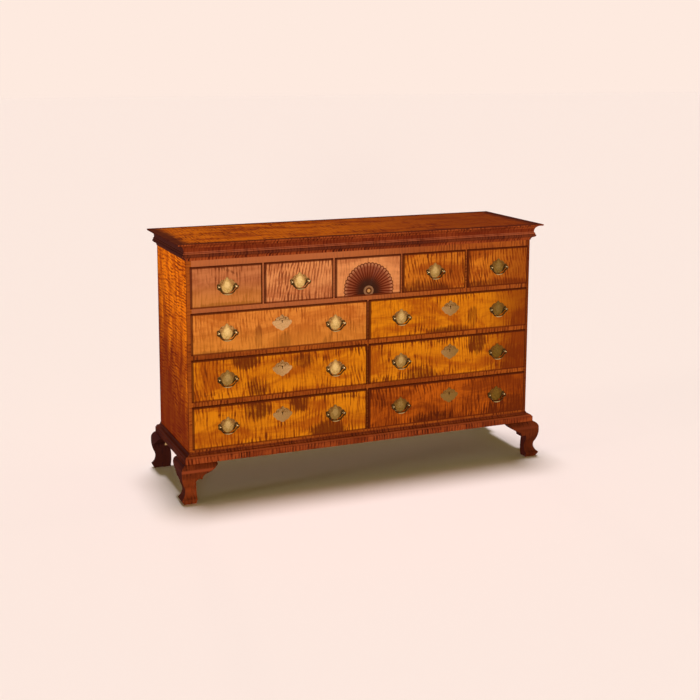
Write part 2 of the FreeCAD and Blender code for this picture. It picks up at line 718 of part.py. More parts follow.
def fan_cutter(field_low):
    """The carver's cut of the fan: a shallow dish, and round-ended flutes that fan out from its hub."""
    hub = f"({field_low} + Sizes.fan_hub_height)"
    offset = "(Sizes.fan_arc_height - Sizes.fan_hub_height)"
    spread = "(tan(Sizes.fan_pitch / 2) * (1 - Sizes.ray_land))"
    sink = "(Sizes.ray_depth / Sizes.fan_radius)"
    flare = f"(({spread} ^ 2 + {sink} ^ 2) / (2 * {sink}))"
    tilt = f"atan(Sizes.fan_dish / Sizes.dish_radius + {flare} - {sink})"
    dish_rim = "Sizes.dish_radius * (Sizes.fan_dish + 1) / Sizes.fan_dish"
    dish = doc.addObject("Part::Cone", "fan_dish_cone")
    dish.Placement = Placement(Vector(0, 0, 0), Rotation(Vector(0, 0, 1), Vector(0, 1, 0)))
    bind(dish, Radius1=dish_rim, Radius2="0", Height="Sizes.fan_dish + 1", y=f"-{PROUD} - 1", z=hub)
    cuts = [dish]
    for i in range(-RAYS_EACH_SIDE, RAYS_EACH_SIDE + 1):
        angle = f"({i} * Sizes.fan_pitch)"
        reach = f"({offset} * cos({angle}) + sqrt(Sizes.fan_radius ^ 2 - ({offset} * sin({angle})) ^ 2))"
        end = f"({reach} / (1 + {spread}))"
        name = f"ray_{i + RAYS_EACH_SIDE}"
        flute = doc.addObject("Part::Cone", f"{name}_flute")
        bind(flute, Radius1=f"{flare} * Sizes.ray_root", Radius2=f"{flare} * {end}",
             Height=f"{end} - Sizes.ray_root", z="Sizes.ray_root")
        tip = doc.addObject("Part::Sphere", f"{name}_tip")
        bind(tip, Radius=f"{flare} * {end} * sqrt(1 + {flare} ^ 2)", z=f"{end} * (1 + {flare} ^ 2)")
        ray = fuse(name, [flute, tip])
        ray.setExpression("Placement", f"create(<<placement>>; create(<<vector>>; 0;"
                                       f" Sizes.fan_dish - {PROUD}; {hub});"
                                       f" create(<<rotation>>; 0; {angle}; {tilt}))")
        cuts.append(ray)
    boss = rod("fan_boss", "Sizes.boss_radius", "4 * Sizes.front_block", Vector(0, 1, 0),
               y="-2 * Sizes.front_block", z=hub)
    carved = cut("fan_carved", fuse("fan_cuts", cuts), boss)
    window = box("fan_window", "4 * Sizes.fan_radius", "4 * Sizes.front_block", "2 * Sizes.fan_radius",
                 x="-2 * Sizes.fan_radius", y="-2 * Sizes.front_block",
                 z=f"{field_low} + Sizes.fan_margin")
    kept = doc.addObject("Part::Common", "fan_kept")
    kept.Base = carved
    kept.Tool = window
    ring = doc.addObject("Part::Torus", "fan_ring")
    ring.Placement = Placement(Vector(0, 0, 0), Rotation(Vector(0, 0, 1), Vector(0, 1, 0)))
    bind(ring, Radius1="Sizes.button_radius + Sizes.boss_groove", Radius2="Sizes.boss_groove",
         y=f"-{PROUD}", z=hub)
    return group("fan_cutter", [kept, ring])


def drawer_box(name, width, opening):
    """Two sides and a back, grooved for a bottom panel that slides in under the back."""
    outer = f"({width} / 2 - Sizes.drawer_play)"
    inner = f"({outer} - Sizes.board_thick)"
    side_top = f"({opening} - Sizes.drawer_headroom - Sizes.side_drop)"
    side_run = f"({DRAWER_END} - Sizes.front_lap)"
    boards = []
    groove_reach = f"({inner} + Sizes.groove_deep)"
    tunnel = box(f"{name}_groove", f"2 * {groove_reach}", side_run,
                 "Sizes.panel_thick + Sizes.groove_play", x=f"-{groove_reach}", y="Sizes.front_lap",
                 z="Sizes.panel_rise")
    for label, start in (("left", f"-{outer}"), ("right", inner)):
        board = box(f"{name}_{label}_board", "Sizes.board_thick", side_run,
                    f"{side_top} - Sizes.drawer_rub", x=start, y="Sizes.front_lap",
                    z="Sizes.drawer_rub")
        boards.append(cut(f"{name}_{label}", board, tunnel))
    boards.append(box(f"{name}_back", f"2 * {inner}", "Sizes.board_thick",
                      f"{side_top} - Sizes.side_drop - {PANEL_TOP}", x=f"-{inner}",
                      y=f"{DRAWER_END} - Sizes.board_thick", z=PANEL_TOP))
    reach = f"({groove_reach} - Sizes.groove_play)"
    lead = "(Sizes.front_block - Sizes.groove_deep + Sizes.groove_play)"
    boards.append(box(f"{name}_panel", f"2 * {reach}", f"{DRAWER_END} - {lead}",
                      "Sizes.panel_thick", x=f"-{reach}", y=lead, z="Sizes.panel_rise"))
    return group(name, boards)


# ---------------------------------------------------------------- brasses
# Plates lie against Y = 0; posts and bails have the middle of the bail's pivot at the origin.

PIVOT = f"({PLATE_FACE} + Sizes.post_reach)"


def plate_points():
    """The scalloped outline of a plate, clockwise from its crest."""
    scallop = "Sizes.scallop_radius"
    half = [("0", "Sizes.plate_crest", scallop),
            ("Sizes.crest_half", "Sizes.crest_shoulder", scallop),
            ("Sizes.plate_waist", "Sizes.waist_top", "Sizes.wing_radius"),
            ("Sizes.plate_wing", "Sizes.wing_rise", scallop),
            ("Sizes.plate_waist", "-Sizes.waist_low", scallop),
            ("Sizes.foot_half", "-Sizes.foot_shoulder", scallop),
            ("0", "-Sizes.plate_foot", scallop)]
    right = [(x, z, -1, radius) for x, z, radius in half[:-1]]
    left = [(f"-{following[0]}", following[1], -1, point[2])
            for point, following in reversed(list(zip(half, half[1:])))]
    return right + left


def plate():
    """A pull's plate, bored for the two posts."""
    body = new_body("pull_plate")
    sketch = new_sketch(body, "outline", "XZ_Plane")
    outline(sketch, plate_points())
    for side in (-1, 1):
        circle(sketch, f"{side} * Sizes.post_spacing / 2", "0", "Sizes.shank_radius + Sizes.shank_play")
    pad(body, sketch, "Sizes.plate_thick")
    return body


def escutcheon_plate():
    """The same outline with a keyhole and two pin holes."""
    body = new_body("escutcheon_plate")
    sketch = new_sketch(body, "outline", "XZ_Plane")
    outline(sketch, plate_points())
    keyhole(sketch, "Sizes.keyhole_rise")
    for side in (-1, 1):
        circle(sketch, f"{side} * Sizes.pin_reach", "0", "Sizes.pin_radius")
    pad(body, sketch, "Sizes.plate_thick")
    return body


def pin():
    """An escutcheon pin, its head on the plate and its shank in the front."""
    shank = rod("pin_shank", "Sizes.pin_radius", "Sizes.pin_length", Vector(0, 1, 0),
                y="-Sizes.plate_thick")
    head = rod("pin_head_disc", "Sizes.pin_head", "Sizes.pin_cap", Vector(0, 1, 0),
               y="-Sizes.plate_thick - Sizes.pin_cap")
    return fuse("escutcheon_pin", [shank, head])


def post():
    """A ball post with a collar and a long shank, cross-bored for the nib of a bail."""
    back = Vector(0, 1, 0)
    ball = doc.addObject("Part::Sphere", "post_ball")
    bind(ball, Radius="Sizes.ball_radius")
    neck = rod("post_neck", "Sizes.neck_thick", "Sizes.post_reach", back)
    collar = rod("post_collar", "Sizes.collar_radius", "Sizes.collar_thick", back,
                 y="Sizes.post_reach - Sizes.collar_thick")
    shank = rod("post_shank", "Sizes.shank_radius",
                f"{PLATE_FACE} + Sizes.front_block + Sizes.nut_thick + Sizes.shank_tail", back,
                y="Sizes.post_reach")
    bore = rod("post_bore", "Sizes.nib_radius + Sizes.nib_play", "4 * Sizes.ball_radius",
               Vector(1, 0, 0), x="-2 * Sizes.ball_radius")
    return cut("post", fuse("post_turned", [ball, neck, collar, shank]), bore)


def nut():
    """A round nut on the end of the shank, against the inside of the front."""
    start = f"{PIVOT} + Sizes.front_block"
    disc = rod("nut_disc", "Sizes.nut_radius", "Sizes.nut_thick", Vector(0, 1, 0), y=start)
    bore = rod("nut_bore", "Sizes.shank_radius", "Sizes.nut_thick", Vector(0, 1, 0), y=start)
    return cut("nut", disc, bore)


def bail():
    """A swan-neck bail: a rod bent down from its nibs, curled in below the posts and out into the bow."""
    half = "(Sizes.post_spacing / 2 + Sizes.ball_radius + Sizes.bail_clear + Sizes.bail_radius)"
    corner = "Sizes.bail_corner"
    curl = "Sizes.bail_curl"
    neck = "Sizes.bail_neck"
    curl_x = f"({half} - {curl})"
    across = "cos(Sizes.bail_turn)"
    down = "sin(Sizes.bail_turn)"
    neck_x = f"({curl_x} + ({curl} + {neck}) * {across})"
    neck_z = f"(-{corner} - ({curl} + {neck}) * {down})"
    left = f"({neck_z} + Sizes.bail_drop)"
    bow = f"(({neck_x} ^ 2 + {left} ^ 2 - {neck} ^ 2) / (2 * ({neck} + {left})))"
    share = f"({bow} / ({bow} + {neck}))"
    join_x = f"({neck_x} * {share})"
    join_z = f"(({bow} - Sizes.bail_drop) * (1 - {share}) + {neck_z} * {share})"
    turn_x = f"({curl_x} + {curl} * {across})"
    turn_z = f"(-{corner} - {curl} * {down})"
    body = new_body("bail_rod")
    spine = new_sketch(body, "spine", "XZ_Plane")
    outline(spine, [(f"{half} - {corner}", "0", -1, corner),
                    (half, f"-{corner}", -1, curl),
                    (turn_x, turn_z, 1, neck),
                    (join_x, join_z, -1, bow),
                    (f"-{join_x}", join_z, 1, neck),
                    (f"-{turn_x}", turn_z, -1, curl),
                    (f"-{half}", f"-{corner}", -1, corner),
                    (f"-({half} - {corner})", "0")], closed=False)
    section = new_sketch(body, "section", "YZ_Plane")
    section.setExpression("AttachmentOffset.Base.z", f"{half} - {corner}")
    circle(section, "0", "0", "Sizes.bail_radius")
    sweep = body.newObject("PartDesign::AdditivePipe", "bail_sweep")
    sweep.Profile = section
    sweep.Spine = spine
    body.Tip = sweep
    tail = "(Sizes.post_spacing / 2 - Sizes.nib_tail)"
    nib = f"{half} - {corner} - {tail}"
    nibs = [rod("nib_right", "Sizes.nib_radius", nib, Vector(1, 0, 0), x=tail),
            rod("nib_left", "Sizes.nib_radius", nib, Vector(1, 0, 0), x=f"-({half} - {corner})")]
    return fuse("bail", [body] + nibs)


def brass_set(name, opening, pulls, has_escutcheon, masters):
    """The fixed brasses of one drawer: plates, posts, nuts, and the pinned escutcheon."""
    height = pull_height(opening)
    members = []
    for i, place in enumerate(pulls):
        members.append(group(f"{name}_plate_{i}", [masters["plate"]], x=place, y=f"-{PROUD}", z=height))
        for label, side in (("a", -1), ("b", 1)):
            members.append(group(f"{name}_post_{i}{label}", [masters["post"], masters["nut"]],
                                 x=f"{place} + {side} * Sizes.post_spacing / 2", y=f"-{PIVOT}", z=height))
    if has_escutcheon:
        level = f"{height} + Sizes.escutcheon_rise"
        members.append(group(f"{name}_escutcheon", [masters["escutcheon"]], y=f"-{PROUD}", z=level))
        for label, side in (("a", -1), ("b", 1)):
            members.append(group(f"{name}_pin_{label}", [masters["pin"]], x=f"{side} * Sizes.pin_reach",
                                 y=f"-{PROUD}", z=level))
    return group(name, members)


# ---------------------------------------------------------------- the drawers in their openings

def build_drawers():
    """Every drawer's front, box, brasses and bails, as separate sub-parts."""
    masters = {"plate": plate(), "escutcheon": escutcheon_plate(), "pin": pin(), "post": post(),
               "nut": nut(), "bail": bail()}
    sub_parts = []

    def fit(name, kit, centre, floor, opening, bails):
        for kind, master in kit.items():
            sub_parts.append(group(f"{name}_{kind}", [master], x=centre, y=FRONT, z=floor))
        for label, place in bails.items():
            sub_parts.append(group(f"{name}_{label}", [masters["bail"]], x=f"{centre} + {place}",
                                   y=f"{FRONT} - {PIVOT}", z=f"{floor} + {pull_height(opening)}"))

    opening = "Sizes.opening_top"
    small_front = drawer_front("small_front", SMALL, opening, ["0"], False)
    blank = drawer_front("fan_blank", SMALL, opening, [], False)
    fan_front = cut("fan_front", blank, fan_cutter(f"(Sizes.drawer_lift + {FIELD_INSET})"))
    small_box = drawer_box("small_box", SMALL, opening)
    small_set = brass_set("small_set", opening, ["0"], False, masters)
    middle = PARTITIONS // 2
    for i in range(PARTITIONS + 1):
        kit = {"front": fan_front if i == middle else small_front, "box": small_box}
        if i != middle:
            kit["brasses"] = small_set
        fit(f"top_drawer_{i + 1}", kit, f"({i - middle} * {SMALL_STEP})", FLOOR_TOP, opening,
            {} if i == middle else {"bail": "0"})

    pulls = ["-Sizes.pull_offset", "Sizes.pull_offset"]
    rows = (("upper", "Sizes.opening_upper", FLOOR_UPPER), ("middle", "Sizes.opening_middle", FLOOR_MIDDLE),
            ("lower", "Sizes.opening_low", FLOOR_LOW))
    for row, opening, floor in rows:
        kit = {"front": drawer_front(f"{row}_front", WIDE, opening, pulls, True),
               "box": drawer_box(f"{row}_box", WIDE, opening),
               "brasses": brass_set(f"{row}_set", opening, pulls, True, masters)}
        for side, sign in (("left", "-"), ("right", "")):
            fit(f"{row}_{side}_drawer", kit, f"({sign}{WIDE_CENTRE})", floor, opening,
                {"bail_left": pulls[0], "bail_right": pulls[1]})
    return sub_parts


# ---------------------------------------------------------------- build, check, write

NODES = [case_sides(), top_board(), cornice_moulding(), drawer_rails(), drawer_dividers(),
         drawer_runners(), case_bottom(), back_boards(), base_moulding(), front_feet(), rear_feet(),
         foot_blocks()] + build_drawers()
doc.recompute()

for obj in doc.Objects:
    if "Invalid" in obj.State or "Error" in obj.State:
        raise RuntimeError(f"{obj.Label} did not compute: {obj.State}")
for node in NODES:
    if node.Shape.isNull() or not node.Shape.isValid() or not node.Shape.Solids:
        raise RuntimeError(f"{node.Label} has no valid solid")

os.makedirs("parts", exist_ok=True)
for node in NODES:
    solids = Part.makeCompound(node.Shape.Solids)
    solids.exportStep(f"parts/{node.Label}.step")
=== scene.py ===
from collections import namedtuple
from math import pi, radians, tan

import bpy
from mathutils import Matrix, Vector


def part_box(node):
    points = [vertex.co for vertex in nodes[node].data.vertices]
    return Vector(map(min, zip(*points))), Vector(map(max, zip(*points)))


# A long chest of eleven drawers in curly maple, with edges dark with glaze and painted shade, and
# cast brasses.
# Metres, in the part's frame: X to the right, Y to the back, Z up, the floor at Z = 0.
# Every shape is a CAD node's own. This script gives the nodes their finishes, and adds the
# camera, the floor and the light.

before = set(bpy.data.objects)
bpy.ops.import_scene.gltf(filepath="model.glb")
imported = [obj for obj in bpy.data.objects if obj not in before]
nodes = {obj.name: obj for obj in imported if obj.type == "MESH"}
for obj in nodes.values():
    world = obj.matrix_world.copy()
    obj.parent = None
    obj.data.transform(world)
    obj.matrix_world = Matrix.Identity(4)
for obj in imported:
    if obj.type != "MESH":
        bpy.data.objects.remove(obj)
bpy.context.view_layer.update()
scene = bpy.context.scene


def srgb(red, green, blue):
    """A linear colour from 8-bit sRGB values."""
    def linear(value):
        value /= 255
        return value / 12.92 if value <= 0.04045 else ((value + 0.055) / 1.055) ** 2.4
    return (linear(red), linear(green), linear(blue), 1.0)


# ---------------------------------------------------------------- sizes

# the camera's turn is in degrees and its lens in millimetres
CAMERA_PLACE = (-2.1218, -4.9702, 1.8502)
CAMERA_TURN = (81.122, -0.095, -22.404)
CAMERA_LENS = 61.48
CAMERA_SHIFT = (0.0229, -0.1429)

FLOOR_REACH = 60.0

# the face of a drawer
LIP_INSET = 0.0075
PULL_OFFSET = 0.248
POST_REACH = 0.0381
ESCUTCHEON_RISE = 0.020
ESCUTCHEON_REACH = 0.055
KEYHOLE_REACH = 0.011

# where in a front the flame along its edges fades inwards and the golden tone at its foot upwards,
# and how wide the painted shade at its right end is
EDGE_FLAME = (0.006, 0.045)
LOWER_TONE = (0.03, 0.12)
RIGHT_SHADE_REACH = 0.3

# half the width and height of the parts of a pull's plate, and half the run of the change from
# the brightness of a drawer's left plate, by polishing and painted light, to that of its right one
PLATE_CROWN = (0.022, 0.037)
PLATE_SHIELD = (0.023, 0.036)
PLATE_CENTRE = (0.013, 0.018)
PLATE_BODY = (0.026, 0.03)
POLISH_RUN = 0.1

# the carved fan; its pitch is in degrees
FAN_HUB_RISE = 0.0235
FAN_ARC_RISE = 0.007
FAN_REACH = 0.119
FAN_PITCH = 8.2
FAN_SCALLOP = 0.0045
FAN_BOSS = 0.023
FAN_BUTTON = 0.009

# the members of the cornice, down from the top's upper face
COVE = (0.008, 0.034)
QUARTER_ROUND = (0.037, 0.0455)
BEAD = (0.0475, 0.0605)
REEDS = (0.036, 0.062)
REED_WAVE = 1100.0  # radians to the metre

# the members of the base moulding, up from its lower edge, and the feet's bulge above the floor
BASE_ROUND = (0.026, 0.031)
BASE_HOLLOW = (0.036, 0.041)
FOOT_BULGE = (0.143, 0.147)

# how many cells the noises of the wood have to the metre, along the grain and across it
FIBRE = (9, 420)
STRIPES = (115, 12)
COMB = (230, 20)
CLOUD = (5, 10)
GLOW = (4, 12)
WANDER = (6, 5)
BOARD_FIBRE = (4, 420)
BOARD_STREAKS = (1.4, 75)
BOARD_CLOUD = (0.9, 14)

# the length of the curl's wave, how many radians of it the wave wanders by, and the turn of the
# broad glow in level wood in degrees
CURL_PITCH = 0.0145
WANDER_REACH = 26
GLOW_SWEEP = (0, 24, 0)

BACK_BOARDS = 5

# how far the bumps of the finishes stand up
WOOD_RELIEF = 0.0003
PLATE_RELIEF = 0.0004
BAIL_RELIEF = 0.0002


# ---------------------------------------------------------------- colours

# old shellac: a thin gloss that leaves the colour deep when seen along the surface
VARNISH = {"Specular_IOR_Level": 0.0, "Coat_Weight": 0.025, "Coat_Roughness": 0.18}
THIN_VARNISH = {**VARNISH, "Coat_Weight": 0.01}

# each wood: the clear figure, the curl across it and the darkest flame
# the pink of ROSY and PALE is partly the wood's own tone and partly painted sheen
ROSY = (srgb(202, 120, 74), srgb(168, 88, 52), srgb(112, 54, 30))
PALE = (srgb(232, 148, 92), srgb(186, 102, 60), srgb(116, 54, 32))
HONEY = (srgb(232, 140, 60), srgb(190, 98, 36), srgb(118, 52, 22))
GOLDEN = (srgb(230, 136, 20), srgb(174, 82, 16), srgb(104, 42, 14))
AMBER = (srgb(218, 124, 34), srgb(162, 74, 20), srgb(98, 42, 16))
RUSSET = (srgb(198, 94, 20), srgb(132, 54, 14), srgb(82, 30, 12))
CASE_WOOD = (srgb(250, 134, 20), srgb(180, 78, 14), srgb(104, 34, 14))
RAIL_WOOD = (srgb(174, 86, 28), srgb(138, 60, 20), srgb(90, 36, 16))
TOP_WOOD = (srgb(196, 96, 12), srgb(138, 52, 10), srgb(88, 28, 10))
TRIM_WOOD = (srgb(170, 78, 36), srgb(122, 48, 22), srgb(66, 24, 14))
FOOT_WOOD = (srgb(144, 62, 28), srgb(104, 42, 18), srgb(58, 22, 12))
SECONDARY_WOOD = (srgb(206, 168, 118), srgb(178, 134, 86), srgb(150, 108, 66))
BOARD_SEAM = srgb(52, 34, 20)

# the glazes over the maple, where its tone changes, and the painted shade, sheen and highlights on
# it
GLAZE_AND_SHADE = srgb(78, 28, 12)
SOFT_GLAZE_AND_SHADE = srgb(108, 42, 16)
END_GLAZE_AND_SHADE = srgb(58, 22, 20)
COVE_GLAZE_AND_SHADE = srgb(106, 34, 14)
BEAD_GLAZE = srgb(80, 36, 28)
TOP_BORDER = srgb(70, 24, 14)
TOP_RIGHT_SHADE = srgb(112, 38, 12)
FRONT_LOWER = srgb(212, 130, 48)
FRONT_RIGHT_SHADE = srgb(128, 50, 14)
FRIEZE_SHEEN = srgb(194, 110, 68)
SIDE_PAINTED_SHADE = srgb(106, 30, 15)
STILE_RIGHT_SHADE = srgb(88, 32, 14)
QUARTER_ROUND_HIGHLIGHT = srgb(176, 92, 62)
BASE_ROUND_HIGHLIGHT = srgb(150, 68, 34)
BULGE_HIGHLIGHT = srgb(150, 66, 36)
FOOT_REAR_SHADE = srgb(42, 17, 18)
FOOT_RIGHT_SHADE = srgb(56, 20, 12)
KEYHOLE_SHADE = srgb(22, 12, 8)

# the fan: glaze and painted shade in the flutes and about the hub, painted highlights on the ridges
# and tips
FAN_HUB_GLAZE_AND_SHADE = srgb(66, 34, 24)
FAN_FLUTE_GLAZE_AND_SHADE = srgb(104, 36, 16)
FAN_RIDGE_HIGHLIGHT = srgb(160, 86, 58)
FAN_TIP_HIGHLIGHT = srgb(198, 126, 88)
BOSS_GROOVE = srgb(98, 50, 24)
BOSS_RING = srgb(150, 104, 74)
BOSS_BUTTON = srgb(206, 146, 88)

# polished and unpolished brass, each clean and tarnished; a plate's share of each stands for its
# polishing and for painted light
BRIGHT = (srgb(218, 182, 112), srgb(170, 132, 68))
DULL = (srgb(116, 86, 26), srgb(86, 60, 16))
PLATE_HOLLOW = srgb(98, 60, 26)
PLATE_EDGE = srgb(190, 144, 84)
# a painted highlight on a plate's middle
PLATE_HIGHLIGHT = srgb(240, 208, 140)
# painted shadow of the bail, painted shade in the curls and a painted glint on the posts
PLATE_BAIL_SHADOW = srgb(48, 34, 14)
PLATE_CURL_SHADE = srgb(64, 46, 20)
POST_GLINT = srgb(226, 196, 140)
ESCUTCHEON = srgb(208, 164, 112)
ESCUTCHEON_DULL = srgb(122, 92, 38)
ESCUTCHEON_TARNISH = srgb(132, 98, 50)
ESCUTCHEON_HOLLOW = srgb(112, 74, 30)
BAIL = (srgb(84, 62, 26), srgb(46, 32, 12))
# a painted highlight on the bail's bow
BAIL_HIGHLIGHT = srgb(206, 178, 118)

FLOOR_COLOUR = srgb(255, 236, 226)
FLOOR_BOUNCE = srgb(150, 132, 112)
BACKDROP = srgb(254, 234, 223)
WORLD_LIGHT = (1.0, 0.86, 0.15, 1.0)
WORLD_STRENGTH = 0.14

# the lamps: where each shines from, its strength, its colour and its width in degrees
LAMPS = {
    "sky": ((0.12, 0.5, 4.0), 2.52, (0.97, 0.99, 1.12), 14),
    "key": ((-1.3, -3.0, 0.08), 2.72, (1.0, 0.97, 0.88), 7),
    "side": ((-3.0, -0.4, 0.12), 1.65, (1.0, 0.95, 0.82), 8),
    "right_fill": ((3.0, -0.1, 0.03), 1.9, (1.0, 0.95, 0.85), 4),
    "back_fill": ((0.4, 3.0, 0.03), 2.0, (1.0, 0.95, 0.85), 4),
}

# a drawer front: tilt is the lean of its curl in degrees, flame and curl are how strong they are,
# the next is the painted shade on its right end, and the last is the brightness of its left and
# right brasses, partly as polished brass and partly as painted light
Front = namedtuple("Front", "wood seed tilt flame curl browner polish")
FRONTS = {
    "top_drawer_1": Front(ROSY, 1.0, 2, 0.0, 0.75, 0.0, (0.8, 0.8)),
    "top_drawer_2": Front(PALE, 5.3, -8, 0.1, 1.6, 0.0, (0.95, 0.95)),
    "top_drawer_3": Front(PALE, 8.1, 3, 0.0, 0.45, 0.0, (0.8, 0.8)),
    "top_drawer_4": Front(AMBER, 11.7, 9, 0.2, 1.4, 0.1, (0.5, 0.5)),
    "top_drawer_5": Front(AMBER, 14.2, 10, 0.15, 1.4, 0.65, (0.12, 0.12)),
    "upper_left_drawer": Front(HONEY, 21.5, 3, 0.1, 0.9, 0.0, (0.87, 0.85)),
    "upper_right_drawer": Front(GOLDEN, 33.4, 4, 0.2, 0.75, 0.8, (0.62, 0.08)),
    "middle_left_drawer": Front(GOLDEN, 41.9, 5, 0.35, 1.0, 0.0, (0.27, 0.87)),
    "middle_right_drawer": Front(GOLDEN, 52.6, 4, 0.4, 0.9, 0.9, (0.43, 0.02)),
    "lower_left_drawer": Front(GOLDEN, 63.8, 6, 0.35, 1.0, 0.0, (0.47, 0.25)),
    "lower_right_drawer": Front(RUSSET, 75.2, 2, 0.2, 1.1, 0.5, (0.14, 0.02)),
}
FAN_DRAWER = "top_drawer_3"

# where dark flame gathers in a front: across and up it in shares, and half its width and height
FLAMES = {
    "top_drawer_1": [(0.5, 0.0, 0.15, 0.02)],
    "top_drawer_4": [(0.35, 0.05, 0.13, 0.05)],
    "top_drawer_5": [(0.5, 0.02, 0.2, 0.03)],
    "upper_left_drawer": [
        (0.37, 0.35, 0.02, 0.05), (0.52, 0.2, 0.03, 0.04), (0.15, 0.0, 0.1, 0.02)],
    "upper_right_drawer": [
        (0.5, 0.03, 0.1, 0.03), (0.65, 0.35, 0.03, 0.05), (0.96, 0.2, 0.06, 0.05)],
    "middle_left_drawer": [
        (0.36, 0.25, 0.05, 0.04), (0.3, 0.85, 0.06, 0.03), (0.62, 0.75, 0.05, 0.03)],
    "middle_right_drawer": [
        (0.32, 0.1, 0.08, 0.04), (0.68, 0.75, 0.05, 0.05), (0.92, 0.3, 0.07, 0.08)],
    "lower_left_drawer": [
        (0.36, 0.8, 0.06, 0.05), (0.6, 0.85, 0.05, 0.04), (0.76, 0.1, 0.08, 0.05)],
    "lower_right_drawer": [(0.4, 0.1, 0.12, 0.03), (0.9, 0.2, 0.12, 0.05)],
}


# ---------------------------------------------------------------- node helpers

class Finish:
    """One material, with a short method for each kind of node that the finishes use."""

    def __init__(self, name, **shader):
        self.material = bpy.data.materials.new(name)
        self.material.use_nodes = True
        self.tree = self.material.node_tree
        self.shader = self.tree.nodes["Principled BSDF"]
        for socket, value in shader.items():
            self.shader.inputs[socket.replace("_", " ")].default_value = value
        self.coordinates = self.node("ShaderNodeTexCoord").outputs
        self.place = self.coordinates["Object"]
        self.x, self.y, self.z = self.split(self.place)

    def feed(self, socket, value):
        """Link a socket where the value is another node's, and otherwise set it."""
        if isinstance(value, bpy.types.NodeSocket):
            self.tree.links.new(value, socket)
        else:
            socket.default_value = value

    def node(self, kind, inputs=(), **settings):
        made = self.tree.nodes.new(kind)
        for key, value in settings.items():
            setattr(made, key, value)
        for key, value in dict(inputs).items():
            self.feed(made.inputs[key], value)
        return made

    def split(self, vector):
        return self.node("ShaderNodeSeparateXYZ", {0: vector}).outputs

    def math(self, operation, a, b=0.0):
        return self.node("ShaderNodeMath", {0: a, 1: b}, operation=operation).outputs[0]

    def add(self, *values):
        total = values[0]
        for value in values[1:]:
            total = self.math("ADD", total, value)
        return total

    def times(self, a, b):
        return self.math("MULTIPLY", a, b)

    def minus(self, a, b):
        return self.math("SUBTRACT", a, b)

    def far(self, a, b=0.0):
        """The distance between two values."""
        return self.math("ABSOLUTE", self.minus(a, b))

    def squares(self, *values):
        """The sum of the squares of some values."""
        return self.add(*(self.math("POWER", value, 2.0) for value in values))

    def reach(self, across, up):
        """The distance from the point where both values are 0."""
        return self.math("SQRT", self.squares(across, up))

    def least(self, *values):
        total = values[0]
        for value in values[1:]:
            total = self.math("MINIMUM", total, value)
        return total

    def step(self, value, low, high, to_low=0.0, to_high=1.0):
        """A smooth step of value from low to high."""
        return self.node("ShaderNodeMapRange", {
            "Value": value, "From Min": low, "From Max": high,
            "To Min": to_low, "To Max": to_high}, interpolation_type="SMOOTHSTEP").outputs[0]

    def band(self, value, low, high, blur):
        """1 between low and high, falling to 0 over blur on each side."""
        rise = self.step(value, low - blur, low)
        return self.times(rise, self.step(value, high, high + blur, 1.0, 0.0))

    def inset(self, low, high, axis):
        """The distance in from the nearer of two ends."""
        value = getattr(self, axis)
        return self.least(self.minus(value, getattr(low, axis)),
                          self.minus(getattr(high, axis), value))

    def noise(self, cells, seed=0.0, turn=(0, 0, 0), detail=3.0, roughness=0.55, distortion=0.0):
        """Noise with so many cells to the metre along each axis."""
        mapped = self.node("ShaderNodeMapping", {
            "Vector": self.place, "Location": (seed, seed * 1.7, seed * 2.3),
            "Rotation": [radians(angle) for angle in turn], "Scale": cells})
        made = self.node("ShaderNodeTexNoise", {
            "Vector": mapped.outputs[0], "Scale": 1.0, "Detail": detail, "Roughness": roughness,
            "Distortion": distortion})
        return made.outputs["Fac"]

    def mix(self, share, a, b):
        made = self.node("ShaderNodeMix", data_type="RGBA")
        for socket, value in ((made.inputs[0], share), (made.inputs[6], a), (made.inputs[7], b)):
            self.feed(socket, value)
        return made.outputs[2]

    def bump(self, height, distance):
        made = self.node("ShaderNodeBump", {
            "Height": height, "Strength": 1.0, "Distance": distance})
        self.tree.links.new(made.outputs[0], self.shader.inputs["Normal"])

    def finish(self, colour, roughness):
        self.feed(self.shader.inputs["Base Color"], colour)
        self.feed(self.shader.inputs["Roughness"], roughness)
        return self.material


def dress(material, *names):
    """Give the nodes of these names one material."""
    for name in names:
        mesh = nodes[name].data
        mesh.materials.clear()
        mesh.materials.append(material)


# ---------------------------------------------------------------- wood

def spread(grain, along, across):
    """The cells of a noise that has so many to the metre along the grain and across it."""
    return [along if axis == grain else across for axis in "xyz"]


def ripple(finish, grain, seed, tilt):
    """The curl's even wave along the grain, its pitch drawn out and pressed together in places."""
    along, across = (finish.x, finish.z) if grain == "x" else (finish.z, finish.y)
    wander = finish.noise(spread(grain, *WANDER), seed + 23, detail=2)
    run = finish.add(along, finish.times(across, tan(radians(tilt))))
    wave = finish.times(run, 2 * pi / CURL_PITCH)
    return finish.math("SINE", finish.add(wave, finish.times(wander, WANDER_REACH)))


